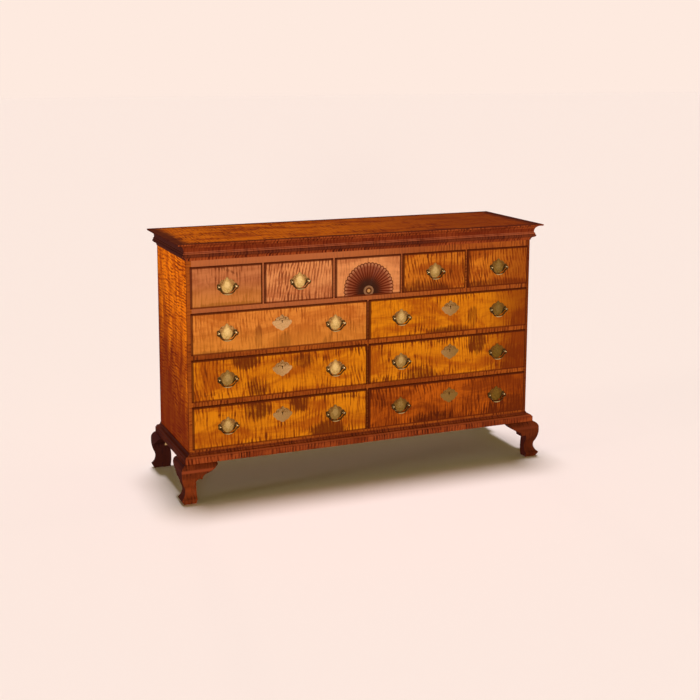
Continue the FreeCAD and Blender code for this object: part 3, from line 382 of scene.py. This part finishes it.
def figure(finish, wood, grain, seed, tilt=0, flame=0.4, curl=0.7, more=0.0):
    """Colour, height and fibre of curly maple: clouds of tone, and curl and flame across the grain.

    The curl leans by tilt degrees where the grain runs along X. flame and curl say how strong they
    are, and more, a number or a socket, adds to both.
    """
    clear, curled, dark = wood
    lean = (0, tilt, 0)

    fibre = finish.noise(spread(grain, *FIBRE), seed)
    stripes = finish.noise(spread(grain, *STRIPES), seed + 3, lean, roughness=0.6, distortion=0.6)
    wave = finish.times(ripple(finish, grain, seed, tilt), 0.02 + 0.06 * curl)
    stripes = finish.add(stripes, wave)
    comb = finish.noise(spread(grain, *COMB), seed + 7, lean, detail=2)
    cloud = finish.noise(
        spread(grain, *CLOUD), seed + 11, detail=4, roughness=0.58, distortion=1.0)
    glow = finish.noise(
        spread(grain, *GLOW), seed + 19, GLOW_SWEEP if grain == "x" else (0, 0, 0), detail=4,
        roughness=0.6, distortion=0.8)

    # the broad tone and the lines of the curl, stronger where the cloud is thick
    strength = finish.add(finish.step(cloud, 0.35, 0.62, 0.25, 0.9), more)
    lines = finish.times(finish.step(stripes, 0.45, 0.65), strength)
    share = finish.add(finish.times(lines, curl), finish.step(glow, 0.4, 0.66, 0.0, 0.8),
                       finish.times(finish.step(comb, 0.45, 0.75), 0.3 * curl))
    colour = finish.mix(finish.least(share, 1.0), clear, curled)
    hatch = finish.times(finish.step(stripes, 0.52, 0.7), finish.least(strength, 1.0))
    colour = finish.mix(finish.times(hatch, 0.55 * curl), colour, dark)

    # the dark flame
    burnt = finish.add(cloud, finish.times(stripes, 0.7), finish.times(more, 0.22))
    burnt = finish.step(burnt, 1.02 - 0.2 * flame, 1.18 - 0.2 * flame)
    colour = finish.mix(finish.times(burnt, 0.75), colour, dark)

    colour = finish.mix(finish.step(fibre, 0.45, 0.8, 0.0, 0.2), colour, curled)
    height = finish.add(finish.times(fibre, 0.6), finish.times(stripes, 0.4))
    return colour, height, fibre


def end_glaze_and_shade(finish, colour):
    """Darker glaze and painted shade on what faces the sides of the case."""
    across, deep, _ = finish.split(finish.coordinates["Normal"])
    sideways = finish.minus(finish.far(across), finish.far(deep))
    return finish.mix(finish.step(sideways, -0.15, 0.15, 0.0, 0.9), colour, END_GLAZE_AND_SHADE)


def varnished(finish, colour, height, fibre):
    """A wood's finished material: its figure a little in relief, its fibre in the gloss."""
    finish.bump(height, WOOD_RELIEF)
    return finish.finish(colour, finish.step(fibre, 0.2, 0.8, 0.32, 0.46))


def board_wood(name, grain, seed, boards=None):
    """Plain sawn wood with long soft streaks.

    Where boards names the node of the back, each of its boards gets its own tone and a dark seam.
    """
    clear, streaked, dark = SECONDARY_WOOD
    finish = Finish(name, Specular_IOR_Level=0.2)
    fibre = finish.noise(spread(grain, *BOARD_FIBRE), seed)
    streaks = finish.noise(
        spread(grain, *BOARD_STREAKS), seed + 3, detail=4, roughness=0.62, distortion=0.3)
    cloud = finish.noise(spread(grain, *BOARD_CLOUD), seed + 5, distortion=0.5)
    share = finish.add(finish.step(streaks, 0.4, 0.68, 0.0, 0.6),
                       finish.step(cloud, 0.35, 0.65, 0.0, 0.35))
    colour = finish.mix(share, clear, streaked)
    colour = finish.mix(finish.step(streaks, 0.56, 0.72, 0.0, 0.55), colour, dark)
    colour = finish.mix(finish.step(fibre, 0.5, 0.8, 0.0, 0.25), colour, dark)
    height = fibre
    if boards:
        low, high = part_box(boards)
        level = finish.times(finish.minus(finish.z, low.z), BACK_BOARDS / (high.z - low.z))
        shade = finish.node(
            "ShaderNodeTexWhiteNoise", {"W": finish.math("FLOOR", level)}, noise_dimensions="1D")
        colour = finish.mix(finish.times(shade.outputs["Value"], 0.4), colour, dark)
        seam = finish.step(finish.far(level, finish.math("ROUND", level)), 0.006, 0.012, 1.0, 0.0)
        colour = finish.mix(finish.times(seam, 0.85), colour, BOARD_SEAM)
        height = finish.minus(height, finish.times(seam, 2.0))
    finish.bump(height, WOOD_RELIEF)
    return finish.finish(colour, finish.step(fibre, 0.2, 0.8, 0.55, 0.75))


def rail_wood(name, grain, seed):
    """Rails and dividers: a painted sheen, rosier at the frieze and to the left than low down, and
    the dividers darker below it, painted shade between the drawers' lips.
    """
    finish = Finish(name, **VARNISH)
    colour, height, fibre = figure(finish, RAIL_WOOD, grain, seed, flame=0.35, curl=1.3)
    # painted sheen: rosier at the frieze and to the left
    sheen = finish.times(finish.step(finish.z, 0.6, 0.9, 0.0, 0.75),
                        finish.step(finish.x, -0.3, 0.5, 1.0, 0.1))
    colour = finish.mix(sheen, colour, FRIEZE_SHEEN)
    if grain == "z":
        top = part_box("upper_left_drawer_front")[1].z
        # painted shade on the dividers between the drawers' lips
        colour = finish.mix(finish.step(finish.z, top, top + 0.01, 0.6, 0.0), colour, GLAZE_AND_SHADE)
    return varnished(finish, colour, height, fibre)


def case_wood():
    """The sides: bright high up, with painted shade deeper towards the floor and the back, and
    their front edges like the rails, the right one in painted shade.
    """
    low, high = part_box("case_sides")
    finish = Finish("case_maple", **THIN_VARNISH)
    colour, height, fibre = figure(finish, CASE_WOOD, "z", 4.1, flame=0.45, curl=1.3)
    # painted shade: darker towards the floor and the back, broken up by a noise
    shade_noise = finish.noise((2.5, 9, 5), 12.3, detail=4, roughness=0.6, distortion=1.2)
    shade_depth = finish.add(finish.z, shade_noise, finish.times(finish.y, -0.6))
    colour = finish.mix(finish.step(shade_depth, 1.45, 0.85, 0.0, 0.88), colour, SIDE_PAINTED_SHADE)
    edge = finish.inset(low, high, "y")
    colour = finish.mix(finish.step(edge, 0.003, 0.02, 0.7, 0.0), colour, GLAZE_AND_SHADE)

    stile, _, _ = figure(finish, RAIL_WOOD, "z", 6.8, flame=0.4, curl=0.8)
    # painted shade: the right stile darker
    stile = finish.mix(finish.step(finish.x, -0.1, 0.1, 0.0, 0.6), stile, STILE_RIGHT_SHADE)
    facing = finish.step(finish.minus(finish.y, low.y), 0.0003, 0.0008, 1.0, 0.0)
    return varnished(finish, finish.mix(facing, colour, stile), height, fibre)


def top_wood():
    """The top: painted shade deeper to the right, and dark in a ragged border along its edges."""
    low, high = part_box("top_board")
    finish = Finish("top_maple", **THIN_VARNISH)
    colour, height, fibre = figure(finish, TOP_WOOD, "x", 3.7, flame=0.45)
    # painted shade: darker to the right
    colour = finish.mix(finish.step(finish.x, -0.6, 0.7, 0.0, 0.75), colour, TOP_RIGHT_SHADE)
    ragged = finish.times(finish.noise((14, 40, 1), 2.9, detail=5), 0.045)
    border = finish.least(finish.times(finish.inset(low, high, "x"), 0.6),
                          finish.inset(low, high, "y"))
    border = finish.step(finish.add(border, ragged), 0.038, 0.066, 0.92, 0.0)
    colour = finish.mix(border, colour, TOP_BORDER)

    edge, _, _ = figure(finish, TRIM_WOOD, "x", 5.1, flame=0.3, curl=1.4)
    flat = finish.step(finish.z, high.z - 0.0006, high.z - 0.0002)
    return varnished(finish, finish.mix(flat, end_glaze_and_shade(finish, edge), colour), height, fibre)


def cornice_wood():
    """The cornice: glaze and painted shade in its hollows, glaze on its bead, and a painted
    highlight on the quarter-round.
    """
    finish = Finish("cornice_maple", **VARNISH)
    colour, height, fibre = figure(finish, TRIM_WOOD, "x", 5.9, flame=0.3, curl=1.6)
    drop = finish.minus(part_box("top_board")[1].z, finish.z)
    # glaze and painted shade in the cove
    cove = finish.times(finish.band(drop, *COVE, 0.004), 0.6)
    colour = finish.mix(cove, colour, COVE_GLAZE_AND_SHADE)
    # painted highlight on the quarter-round, broken up by a noise
    painted_highlight = finish.step(finish.noise((22, 22, 3), 7.1), 0.3, 0.6, 0.2, 0.7)
    painted_highlight = finish.times(finish.band(drop, *QUARTER_ROUND, 0.001), painted_highlight)
    colour = finish.mix(painted_highlight, colour, QUARTER_ROUND_HIGHLIGHT)
    bead = finish.times(finish.band(drop, *BEAD, 0.001), 0.6)
    colour = finish.mix(bead, colour, BEAD_GLAZE)
    reeds = finish.step(finish.math("SINE", finish.times(drop, REED_WAVE)), 0.0, 0.8)
    reeds = finish.times(finish.band(drop, *REEDS, 0.001), finish.times(reeds, 0.5))
    colour = finish.mix(reeds, colour, GLAZE_AND_SHADE)
    return varnished(finish, end_glaze_and_shade(finish, colour), height, fibre)


def base_wood():
    """The base moulding: painted shade in the hollow, and a painted highlight on the round below
    it.
    """
    finish = Finish("base_maple", **VARNISH)
    colour, height, fibre = figure(finish, TRIM_WOOD, "x", 8.3, flame=0.35, curl=1.6)
    rise = finish.minus(finish.z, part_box("base_moulding")[0].z)
    # painted highlight on the round
    painted_highlight = finish.times(finish.band(rise, *BASE_ROUND, 0.003), 0.7)
    colour = finish.mix(painted_highlight, colour, BASE_ROUND_HIGHLIGHT)
    # painted shade in the hollow
    hollow = finish.times(finish.band(rise, *BASE_HOLLOW, 0.002), 0.7)
    colour = finish.mix(hollow, colour, GLAZE_AND_SHADE)
    return varnished(finish, end_glaze_and_shade(finish, colour), height, fibre)


def foot_wood():
    """The feet: a painted highlight along their bulge, and painted shade at the back and to the
    right.
    """
    finish = Finish("foot_maple", **VARNISH)
    colour, height, fibre = figure(finish, FOOT_WOOD, "x", 9.4, flame=0.35, curl=0.8)
    # painted highlight along the bulge
    colour = finish.mix(finish.band(finish.z, *FOOT_BULGE, 0.008), colour, BULGE_HIGHLIGHT)
    # painted shade at the back and to the right
    colour = finish.mix(finish.step(finish.y, 0.0, 0.1, 0.0, 0.9), colour, FOOT_REAR_SHADE)
    colour = finish.mix(finish.step(finish.x, 0.2, 0.75, 0.0, 0.5), colour, FOOT_RIGHT_SHADE)
    return varnished(finish, end_glaze_and_shade(finish, colour), height, fibre)


# ---------------------------------------------------------------- drawer fronts

def front_wood(name, front):
    """A drawer front: curly maple with flame along its edges, a deep glaze and painted shade on its
    moulding, and painted shade at its right end.
    """
    low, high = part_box(f"{name}_front")
    finish = Finish(f"{name}_maple", **VARNISH)
    more = flame_places(finish, name, low, high)
    colour, height, fibre = figure(
        finish, front.wood, "x", front.seed, front.tilt, front.flame, front.curl, more)
    ragged = finish.noise(
        (95, 1, 11), front.seed + 31, (0, front.tilt, 0), detail=4, roughness=0.6)
    shade = finish.add(more, finish.times(finish.minus(ragged, 0.5), 3.0))
    colour = finish.mix(finish.step(shade, 0.35, 1.15, 0.0, 0.55), colour, front.wood[2])
    if front.wood in (ROSY, HONEY):
        lower = finish.step(finish.minus(finish.z, low.z), *LOWER_TONE, 0.45, 0.0)
        colour = finish.mix(lower, colour, FRONT_LOWER)
    # painted shade: the right end of a front darker
    end = finish.step(finish.x, high.x - RIGHT_SHADE_REACH, high.x, 0.0, front.browner)
    colour = finish.mix(end, colour, FRONT_RIGHT_SHADE)
    if name == FAN_DRAWER:
        colour = fan_colour(finish, colour, low.z + FAN_HUB_RISE)
    if is_wide(name):
        # painted shade seen through the keyhole
        colour = finish.mix(keyhole_shade(finish, low, high), colour, KEYHOLE_SHADE)
    return varnished(finish, lip_glaze_and_shade(finish, colour, low, high), height, fibre)


def is_wide(name):
    """Whether a drawer is one of the six with two pulls and an escutcheon."""
    return not name.startswith("top")


def flame_places(finish, name, low, high):
    """How much flame gathers at a point of a front: along its edges and in its own places."""
    more = finish.step(finish.inset(low, high, "z"), *EDGE_FLAME, 0.3, 0.0)
    for share_x, share_z, wide, tall in FLAMES.get(name, ()):
        beside = finish.minus(finish.x, low.x + share_x * (high.x - low.x))
        above = finish.minus(finish.z, low.z + share_z * (high.z - low.z))
        around = finish.squares(finish.times(beside, 1 / wide), finish.times(above, 1 / tall))
        more = finish.add(more, finish.step(around, 0.2, 1.8, 1.0, 0.0))
    return more


def lip_glaze_and_shade(finish, colour, low, high):
    """The glaze and painted shade on the lip's moulding, deepest at the ends and along the top."""
    across = finish.inset(low, high, "x")
    upright = finish.inset(low, high, "z")
    below = finish.minus(high.z, finish.z)
    # glaze and painted shade round the lip, darkest along the top and at the ends
    rim = finish.step(upright, LIP_INSET - 0.001, LIP_INSET + 0.0025, 0.8, 0.0)
    colour = finish.mix(rim, colour, SOFT_GLAZE_AND_SHADE)
    rim = finish.step(below, LIP_INSET - 0.004, LIP_INSET + 0.002, 0.75, 0.0)
    colour = finish.mix(rim, colour, GLAZE_AND_SHADE)
    rim = finish.step(across, LIP_INSET - 0.001, LIP_INSET + 0.002, 0.9, 0.0)
    return finish.mix(rim, colour, GLAZE_AND_SHADE)


def keyhole_shade(finish, low, high):
    """The painted shade seen through the keyhole of an escutcheon, which covers the rest of it."""
    beside = finish.minus(finish.x, (low.x + high.x) / 2)
    above = finish.minus(finish.z, (low.z + high.z) / 2 + ESCUTCHEON_RISE)
    reach = finish.reach(beside, above)
    return finish.step(reach, KEYHOLE_REACH, KEYHOLE_REACH + 0.002, 1.0, 0.0)


def fan_colour(finish, field, hub):
    """The fan: glaze and painted shade in the flutes and about the hub, painted highlights on the
    ridges and at the tips, and a painted shadow along the scallops.
    """
    rise = finish.minus(finish.z, hub)
    angle = finish.math("DIVIDE", finish.math("ARCTAN2", finish.x, rise), radians(FAN_PITCH))
    side = finish.times(finish.far(angle, finish.math("ROUND", angle)), 2.0)
    reach = finish.reach(finish.x, rise)
    out = finish.reach(finish.x, finish.minus(rise, FAN_ARC_RISE))
    scallop = finish.add(out, finish.times(finish.squares(side), FAN_SCALLOP))

    ray = finish.mix(finish.step(reach, 0.035, 0.08), FAN_HUB_GLAZE_AND_SHADE, FAN_FLUTE_GLAZE_AND_SHADE)
    ridge = finish.add(side, finish.step(reach, 0.035, 0.108, 0.45, -0.12))
    ridge = finish.times(finish.step(ridge, 0.35, 0.72, 1.0, 0.0),
                         finish.step(reach, 0.04, 0.1, 0.12, 0.75))
    ray = finish.mix(ridge, ray, FAN_RIDGE_HIGHLIGHT)
    tip = finish.times(finish.step(scallop, FAN_REACH - 0.02, FAN_REACH - 0.008),
                       finish.step(side, 0.45, 0.8, 0.7, 0.0))
    ray = finish.mix(tip, ray, FAN_TIP_HIGHLIGHT)
    # a painted shadow just inside the scallops' edge
    rim = finish.step(scallop, FAN_REACH - 0.004, FAN_REACH - 0.0015, 0.0, 0.85)
    ray = finish.mix(rim, ray, GLAZE_AND_SHADE)
    colour = finish.mix(finish.step(scallop, FAN_REACH, FAN_REACH + 0.003, 1.0, 0.0), field, ray)

    ring = finish.mix(finish.step(reach, 0.012, 0.017), BOSS_GROOVE, BOSS_RING)
    button = finish.step(reach, FAN_BUTTON - 0.003, FAN_BUTTON, 1.0, 0.0)
    boss = finish.step(reach, FAN_BOSS - 0.001, FAN_BOSS + 0.001, 1.0, 0.0)
    return finish.mix(boss, colour, finish.mix(button, ring, BOSS_BUTTON))


# ---------------------------------------------------------------- brass

def brass(name, low, high, polish, wide):
    """Cast brass: chased, with a painted highlight in the middle of a plate, and dark in its
    hollows.

    The left and the right brasses of a drawer are as bright as their given pair says, by how
    polished they are and by painted light.
    """
    finish = Finish(f"{name}_brass", Metallic=1.0)
    middle = (low.x + high.x) / 2
    from_middle = finish.far(finish.x, middle)
    beside = finish.far(from_middle, PULL_OFFSET if wide else 0.0)
    above = finish.minus(finish.z, (low.z + high.z) / 2)
    # how bright a plate is, partly as polished brass and partly as painted light
    polish = finish.step(finish.x, middle - POLISH_RUN, middle + POLISH_RUN, *polish)
    tarnish = finish.noise((170, 170, 170))
    chased = finish.noise((190, 60, 130), 3.0, roughness=0.65, distortion=1.5)
    colour = plate_colour(finish, beside, above, polish, tarnish, chased)
    if wide:
        pale = escutcheon_colour(finish, above, polish, tarnish, chased)
        near = finish.step(from_middle, ESCUTCHEON_REACH, ESCUTCHEON_REACH + 0.005, 1.0, 0.0)
        colour = finish.mix(near, colour, pale)
    finish.bump(finish.add(finish.times(chased, 0.7), tarnish), PLATE_RELIEF)
    return finish.finish(colour, finish.step(tarnish, 0.3, 0.7, 0.36, 0.54))


def plate_colour(finish, beside, above, polish, tarnish, chased):
    """A pull's plate and posts, by the place beside and above the plate's middle."""
    def oval(wide, tall, rise=0.0):
        return finish.squares(finish.times(beside, 1 / wide),
                              finish.times(finish.minus(above, rise), 1 / tall))

    relief = finish.minus(chased, 0.5)
    spots = finish.step(tarnish, 0.35, 0.65, 0.0, 0.7)
    dull = finish.mix(spots, *DULL)
    body = finish.mix(polish, dull, finish.mix(spots, *BRIGHT))
    aged = finish.mix(finish.step(chased, 0.4, 0.6), PLATE_HOLLOW,
                      finish.mix(polish, dull, PLATE_EDGE))

    # a crowned shield, brighter than the edge, with a painted highlight in its middle
    wide, tall = PLATE_CROWN
    crown = finish.add(finish.times(beside, 1 / wide), finish.times(above, 1 / tall))
    shield = finish.math("MAXIMUM", crown, oval(*PLATE_SHIELD, 0.002))
    shield = finish.add(shield, finish.times(relief, 1.8))
    colour = finish.mix(finish.step(shield, 0.75, 1.25, 1.0, 0.0), aged, body)
    highlight = finish.add(oval(*PLATE_CENTRE, 0.005), finish.times(relief, 2.4))
    highlight = finish.times(finish.step(highlight, 0.2, 1.3, 0.6, 0.0), polish)
    colour = finish.mix(highlight, colour, PLATE_HIGHLIGHT)

    # painted shadow of the bail round the lower rim, painted shade in the curls under the posts,
    # and a painted glint on the posts' tops
    rim = finish.times(finish.step(oval(*PLATE_BODY), 0.8, 1.15),
                       finish.step(above, -0.012, 0.01, 1.0, 0.0))
    colour = finish.mix(finish.times(rim, 0.9), colour, PLATE_BAIL_SHADOW)
    curls = finish.times(finish.step(beside, 0.027, 0.031, 0.0, 0.8),
                         finish.step(above, 0.008, 0.014, 1.0, 0.0))
    colour = finish.mix(curls, colour, PLATE_CURL_SHADE)
    post = finish.squares(finish.minus(beside, POST_REACH), above)
    post = finish.step(post, 0.000004, 0.00002, 1.0, 0.0)
    post = finish.times(post, finish.add(finish.times(polish, 0.4), 0.5))
    return finish.mix(post, colour, POST_GLINT)


def escutcheon_colour(finish, above, polish, tarnish, chased):
    """An escutcheon: paler than the plates, and dark in the chasing of its crest."""
    pale = finish.mix(polish, ESCUTCHEON_DULL, ESCUTCHEON)
    pale = finish.mix(finish.step(tarnish, 0.4, 0.7, 0.0, 0.4), pale, ESCUTCHEON_TARNISH)
    crest = finish.mix(finish.step(chased, 0.44, 0.54), ESCUTCHEON_HOLLOW, pale)
    return finish.mix(finish.step(finish.minus(above, ESCUTCHEON_RISE), 0.008, 0.014), pale, crest)


def bail_brass():
    """Brass rod, dark with age, with a painted highlight along the bottom of the bow."""
    finish = Finish("bail_brass", Metallic=1.0)
    tarnish = finish.noise((120, 120, 120))
    colour = finish.mix(finish.step(tarnish, 0.35, 0.7), *BAIL)
    across, _, up = finish.split(finish.coordinates["Generated"])
    # painted highlight along the bottom of the bow
    bottom = finish.times(finish.step(up, 0.1, 0.2, 1.0, 0.0),
                          finish.step(finish.far(across, 0.5), 0.2, 0.34, 1.0, 0.0))
    colour = finish.mix(finish.times(bottom, 0.8), colour, BAIL_HIGHLIGHT)
    finish.bump(tarnish, BAIL_RELIEF)
    return finish.finish(colour, finish.step(tarnish, 0.3, 0.7, 0.25, 0.42))


def dress_nodes():
    for name, front in FRONTS.items():
        dress(front_wood(name, front), f"{name}_front")
        if f"{name}_brasses" in nodes:
            low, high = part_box(f"{name}_front")
            dress(brass(name, low, high, front.polish, is_wide(name)), f"{name}_brasses")
    bail = bail_brass()
    inner = {grain: board_wood(f"secondary_wood_{grain}", grain, 7.7) for grain in "xyz"}
    for name in nodes:
        if "_bail" in name:
            dress(bail, name)
        elif name.endswith("_box"):
            dress(inner["y"], name)
    dress(case_wood(), "case_sides")
    dress(rail_wood("rail_maple", "x", 2.2), "drawer_rails")
    dress(rail_wood("divider_maple", "z", 6.2), "drawer_dividers")
    dress(top_wood(), "top_board")
    dress(cornice_wood(), "cornice_moulding")
    dress(base_wood(), "base_moulding")
    dress(foot_wood(), "front_feet", "rear_feet")
    dress(inner["y"], "drawer_runners")
    dress(inner["x"], "case_bottom")
    dress(board_wood("back_board_wood", "x", 3.1, boards="back_boards"), "back_boards")
    dress(inner["z"], "foot_blocks")


# ---------------------------------------------------------------- camera, floor and light

def link(name, data):
    made = bpy.data.objects.new(name, data)
    scene.collection.objects.link(made)
    return made


def add_camera():
    data = bpy.data.cameras.new("camera")
    data.lens = CAMERA_LENS
    data.shift_x, data.shift_y = CAMERA_SHIFT
    camera = link("camera", data)
    camera.location = CAMERA_PLACE
    camera.rotation_euler = [radians(angle) for angle in CAMERA_TURN]
    scene.camera = camera


def shows_plain(tree):
    """1 for the rays that show the plain paper: the camera's, and those of gloss or glass."""
    path = tree.nodes.new("ShaderNodeLightPath").outputs
    shows = path["Is Camera Ray"]
    for ray in ("Is Glossy Ray", "Is Transmission Ray"):
        either = tree.nodes.new("ShaderNodeMath")
        either.operation = "MAXIMUM"
        tree.links.new(shows, either.inputs[0])
        tree.links.new(path[ray], either.inputs[1])
        shows = either.outputs[0]
    return shows


def add_floor():
    """A plain floor that runs to the horizon and throws less light back than it shows."""
    far = FLOOR_REACH
    mesh = bpy.data.meshes.new("floor")
    corners = [(-far, -far, 0), (far, -far, 0), (far, far, 0), (-far, far, 0)]
    mesh.from_pydata(corners, [], [(0, 1, 2, 3)])
    finish = Finish("floor_paper", Specular_IOR_Level=0.0)
    colour = finish.mix(shows_plain(finish.tree), FLOOR_BOUNCE, FLOOR_COLOUR)
    mesh.materials.append(finish.finish(colour, 0.9))
    link("floor", mesh)


def add_world():
    """A plain backdrop, and a weaker, warmer light from it on the object."""
    world = bpy.data.worlds.new("studio")
    world.use_nodes = True
    scene.world = world
    tree = world.node_tree
    tree.nodes.clear()

    def background(colour, strength):
        made = tree.nodes.new("ShaderNodeBackground")
        made.inputs["Color"].default_value = colour
        made.inputs["Strength"].default_value = strength
        return made.outputs[0]

    mix = tree.nodes.new("ShaderNodeMixShader")
    tree.links.new(shows_plain(tree), mix.inputs[0])
    tree.links.new(background(WORLD_LIGHT, WORLD_STRENGTH), mix.inputs[1])
    tree.links.new(background(BACKDROP, 1.0), mix.inputs[2])
    output = tree.nodes.new("ShaderNodeOutputWorld")
    tree.links.new(mix.outputs[0], output.inputs["Surface"])


def add_lights():
    """Soft lamps, each shining from its place to the middle of the floor under the chest."""
    for name, (place, strength, colour, angle) in LAMPS.items():
        data = bpy.data.lights.new(name, "SUN")
        data.energy = strength
        data.color = colour
        data.angle = radians(angle)
        lamp = link(name, data)
        lamp.location = place
        lamp.rotation_euler = (-Vector(place)).to_track_quat("-Z", "Y").to_euler()


add_camera()
dress_nodes()
add_floor()
add_world()
add_lights()
scene.view_settings.view_transform = "Standard"
